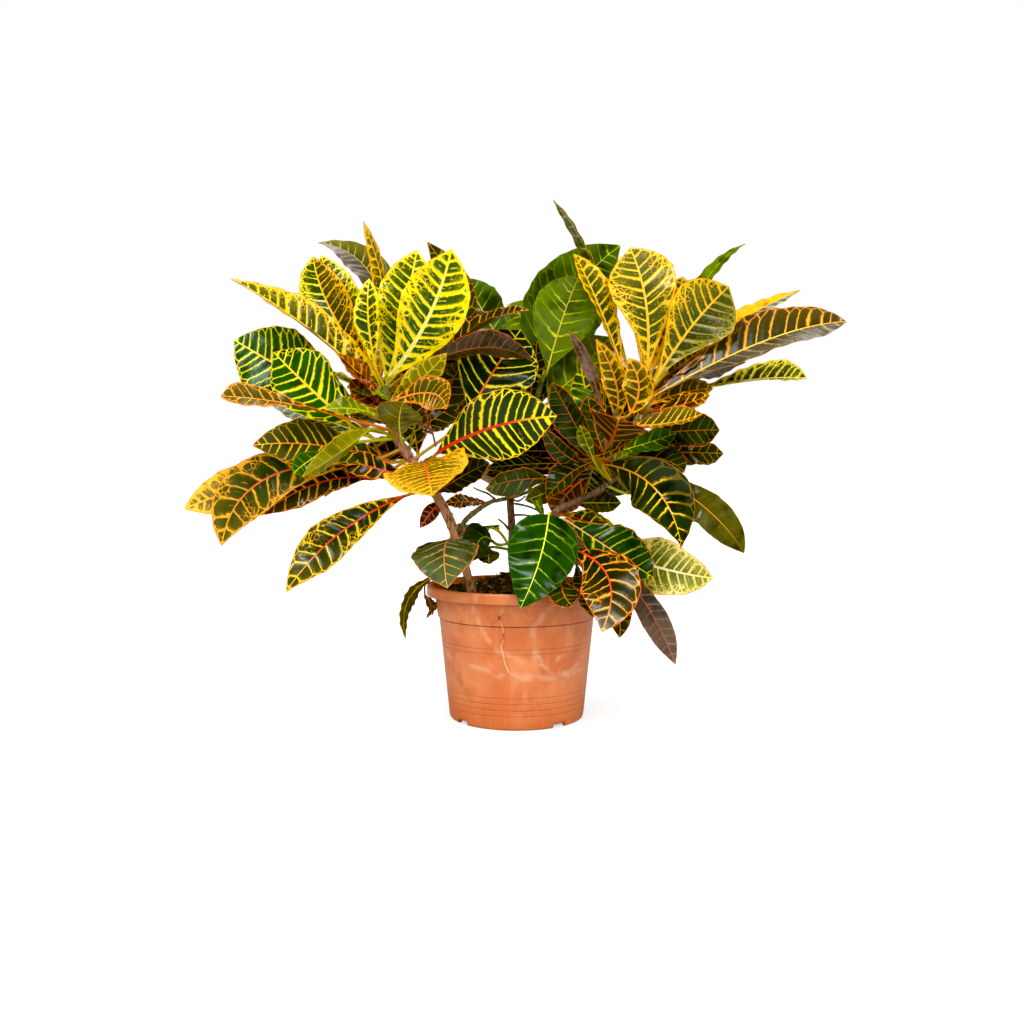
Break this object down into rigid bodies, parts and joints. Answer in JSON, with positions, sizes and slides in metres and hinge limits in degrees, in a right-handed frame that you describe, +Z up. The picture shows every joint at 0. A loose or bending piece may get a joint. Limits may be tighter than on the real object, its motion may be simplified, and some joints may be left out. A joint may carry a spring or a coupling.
{
  "type": "potted croton",
  "caption": "Bushy croton plant with leathery gold, orange and dark green leaves on woody stems, standing in soil in a tapered round nursery pot.",
  "frame": {"origin": "centre of the pot's underside, on the surface that the pot stands on", "axes": "+Z up along the pot's axis, +Y from the pictured front to the back, +X to the right as seen from the front"},
  "size_m": [0.6411, 0.3257, 0.5175],
  "materials": {
    "pot_plastic": "satin",
    "soil": "matte",
    "bark": "matte",
    "gold_leaves": "gloss",
    "green_leaves": "gloss",
    "lower_leaves": "gloss",
    "orange_leaves": "gloss",
    "dried_leaf": "matte",
    "dry_root": "matte"
  },
  "bodies": {
    "root": {"pot": "pot_plastic", "soil": "soil", "left_stem": "bark", "middle_stem": "bark", "right_stem": "bark", "left_shoot": "gold_leaves", "middle_shoot": "green_leaves", "elbow_shoot": "lower_leaves", "right_shoot": "orange_leaves", "dried_leaf": "dried_leaf", "root_thread": "dry_root"}
  },
  "joints": []
}
